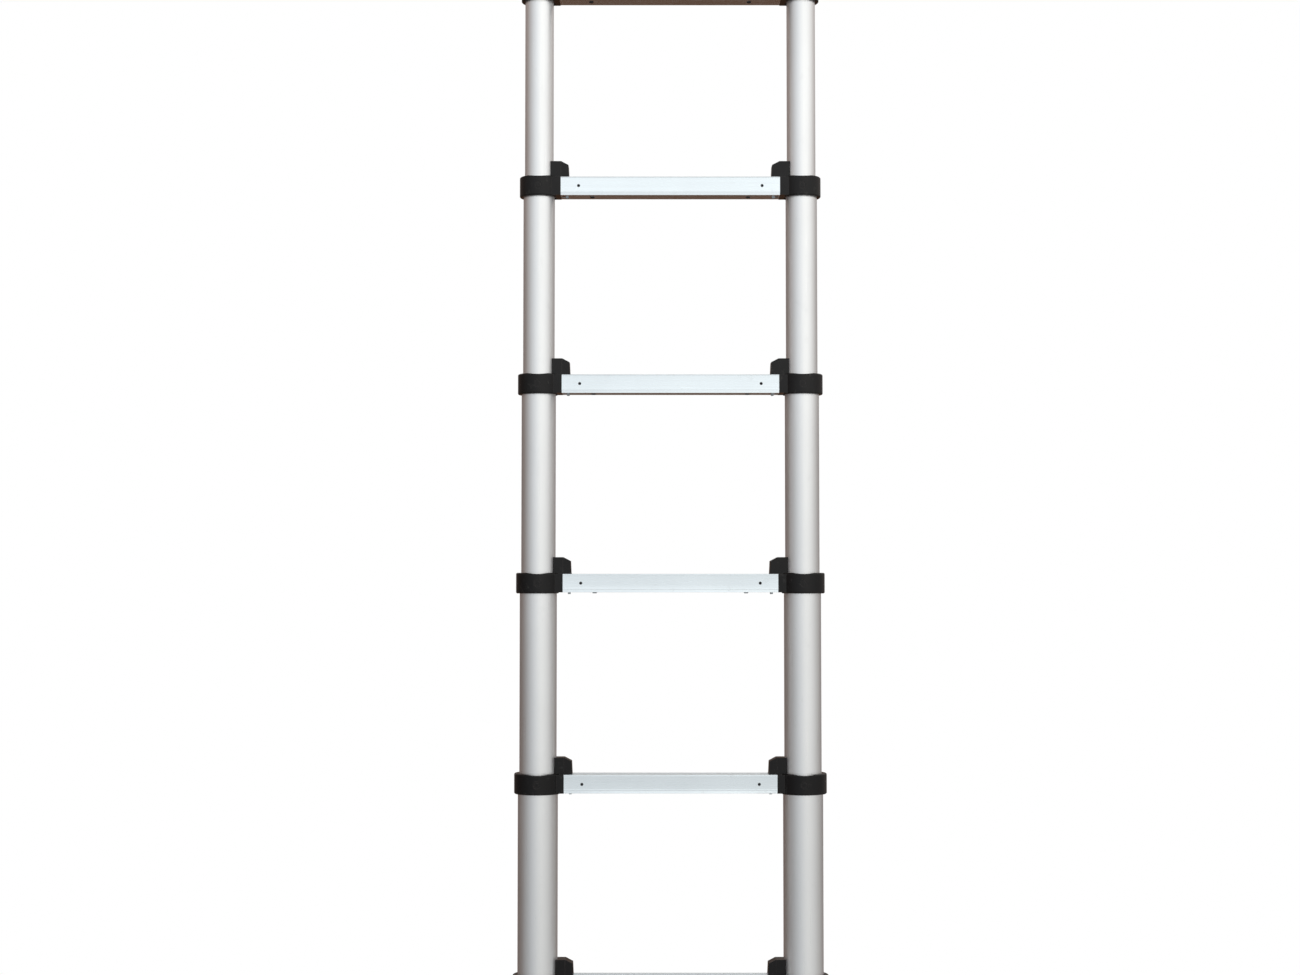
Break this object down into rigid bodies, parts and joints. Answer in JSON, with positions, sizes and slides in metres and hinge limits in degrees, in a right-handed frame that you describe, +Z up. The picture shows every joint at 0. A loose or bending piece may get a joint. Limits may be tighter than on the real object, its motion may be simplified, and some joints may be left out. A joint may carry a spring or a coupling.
{
  "type": "telescoping ladder",
  "caption": "Telescoping aluminium ladder: nested stile tubes with black collars, ribbed rungs, sprung locking pins and rubber feet; each stage slides down into the one below.",
  "frame": {"origin": "on the floor, midway between the two feet", "axes": "+Z up along the stiles, +X towards the right-hand stile seen from the front, -Y towards the user in front of the ladder"},
  "size_m": [0.467, 0.082, 2.045],
  "materials": {
    "satin_aluminium": "satin anodised",
    "rung_aluminium": "satin anodised extrusion",
    "black_nylon": "fine moulded texture",
    "foot_rubber": "matte",
    "black_steel": "black oxide",
    "cast_steel": "zinc plated casting",
    "spring_steel": "drawn wire",
    "button_plastic": "satin moulded"
  },
  "bodies": {
    "stage_1": {"stage_1_tubes": "satin_aluminium", "stage_1_rung": "rung_aluminium", "stage_1_collars": "black_nylon", "stage_1_screws": "black_steel", "stage_1_latch_springs": "spring_steel", "rubber_feet": "foot_rubber", "foot_screws": "black_steel"},
    "stage_2": {"stage_2_tubes": "satin_aluminium", "stage_2_rung": "rung_aluminium", "stage_2_collars": "black_nylon", "stage_2_screws": "black_steel", "stage_2_tube_plugs": "black_nylon", "stage_2_latch_springs": "spring_steel"},
    "stage_3": {"stage_3_tubes": "satin_aluminium", "stage_3_rung": "rung_aluminium", "stage_3_collars": "black_nylon", "stage_3_screws": "black_steel", "stage_3_tube_plugs": "black_nylon", "stage_3_latch_springs": "spring_steel"},
    "stage_4": {"stage_4_tubes": "satin_aluminium", "stage_4_rung": "rung_aluminium", "stage_4_collars": "black_nylon", "stage_4_screws": "black_steel", "stage_4_tube_plugs": "black_nylon", "stage_4_latch_springs": "spring_steel"},
    "stage_5": {"stage_5_tubes": "satin_aluminium", "stage_5_rung": "rung_aluminium", "stage_5_collars": "black_nylon", "stage_5_screws": "black_steel", "stage_5_tube_plugs": "black_nylon", "stage_5_latch_springs": "spring_steel"},
    "stage_6": {"stage_6_tubes": "satin_aluminium", "stage_6_rung": "rung_aluminium", "stage_6_collars": "black_nylon", "stage_6_screws": "black_steel", "stage_6_tube_plugs": "black_nylon", "stage_6_latch_springs": "spring_steel"},
    "stage_7": {"stage_7_tubes": "satin_aluminium", "stage_7_rung": "rung_aluminium", "stage_7_collars": "black_nylon", "stage_7_screws": "black_steel", "stage_7_tube_plugs": "black_nylon", "top_caps": "black_nylon"},
    "left_latch_1": {"stage_1_left_latch": "cast_steel", "left_release_button": "button_plastic"},
    "right_latch_1": {"stage_1_right_latch": "cast_steel", "right_release_button": "button_plastic"},
    "left_latch_2": {"stage_2_left_latch": "cast_steel"},
    "right_latch_2": {"stage_2_right_latch": "cast_steel"},
    "left_latch_3": {"stage_3_left_latch": "cast_steel"},
    "right_latch_3": {"stage_3_right_latch": "cast_steel"},
    "left_latch_4": {"stage_4_left_latch": "cast_steel"},
    "right_latch_4": {"stage_4_right_latch": "cast_steel"},
    "left_latch_5": {"stage_5_left_latch": "cast_steel"},
    "right_latch_5": {"stage_5_right_latch": "cast_steel"},
    "left_latch_6": {"stage_6_left_latch": "cast_steel"},
    "right_latch_6": {"stage_6_right_latch": "cast_steel"}
  },
  "joints": [
    {"name": "stage_2_slide", "type": "slide", "parent": "stage_1", "child": "stage_2", "axis": [0, 0, 1], "range_m": [-0.2387, 0], "stiffness_N_per_m": 5, "springref_m": 10.5},
    {"name": "stage_3_slide", "type": "slide", "parent": "stage_2", "child": "stage_3", "axis": [0, 0, 1], "range_m": [-0.2387, 0], "stiffness_N_per_m": 5, "springref_m": 8.533},
    {"name": "stage_4_slide", "type": "slide", "parent": "stage_3", "child": "stage_4", "axis": [0, 0, 1], "range_m": [-0.2387, 0], "stiffness_N_per_m": 5, "springref_m": 6.647},
    {"name": "stage_5_slide", "type": "slide", "parent": "stage_4", "child": "stage_5", "axis": [0, 0, 1], "range_m": [-0.2387, 0], "stiffness_N_per_m": 5, "springref_m": 4.842},
    {"name": "stage_6_slide", "type": "slide", "parent": "stage_5", "child": "stage_6", "axis": [0, 0, 1], "range_m": [-0.2387, 0], "stiffness_N_per_m": 5, "springref_m": 3.117},
    {"name": "stage_7_slide", "type": "slide", "parent": "stage_6", "child": "stage_7", "axis": [0, 0, 1], "range_m": [-0.2387, 0], "stiffness_N_per_m": 5, "springref_m": 1.471},
    {"name": "left_latch_1_slide", "type": "slide", "parent": "stage_1", "child": "left_latch_1", "axis": [-1, 0, 0], "range_m": [0, 0.0048]},
    {"name": "right_latch_1_slide", "type": "slide", "parent": "stage_1", "child": "right_latch_1", "axis": [1, 0, 0], "range_m": [0, 0.0048]},
    {"name": "left_latch_2_slide", "type": "slide", "parent": "stage_2", "child": "left_latch_2", "axis": [-1, 0, 0], "range_m": [0, 0.0048]},
    {"name": "right_latch_2_slide", "type": "slide", "parent": "stage_2", "child": "right_latch_2", "axis": [1, 0, 0], "range_m": [0, 0.0048]},
    {"name": "left_latch_3_slide", "type": "slide", "parent": "stage_3", "child": "left_latch_3", "axis": [-1, 0, 0], "range_m": [0, 0.0048]},
    {"name": "right_latch_3_slide", "type": "slide", "parent": "stage_3", "child": "right_latch_3", "axis": [1, 0, 0], "range_m": [0, 0.0048]},
    {"name": "left_latch_4_slide", "type": "slide", "parent": "stage_4", "child": "left_latch_4", "axis": [-1, 0, 0], "range_m": [0, 0.0048]},
    {"name": "right_latch_4_slide", "type": "slide", "parent": "stage_4", "child": "right_latch_4", "axis": [1, 0, 0], "range_m": [0, 0.0048]},
    {"name": "left_latch_5_slide", "type": "slide", "parent": "stage_5", "child": "left_latch_5", "axis": [-1, 0, 0], "range_m": [0, 0.0048]},
    {"name": "right_latch_5_slide", "type": "slide", "parent": "stage_5", "child": "right_latch_5", "axis": [1, 0, 0], "range_m": [0, 0.0048]},
    {"name": "left_latch_6_slide", "type": "slide", "parent": "stage_6", "child": "left_latch_6", "axis": [-1, 0, 0], "range_m": [0, 0.0048]},
    {"name": "right_latch_6_slide", "type": "slide", "parent": "stage_6", "child": "right_latch_6", "axis": [1, 0, 0], "range_m": [0, 0.0048]}
  ]
}
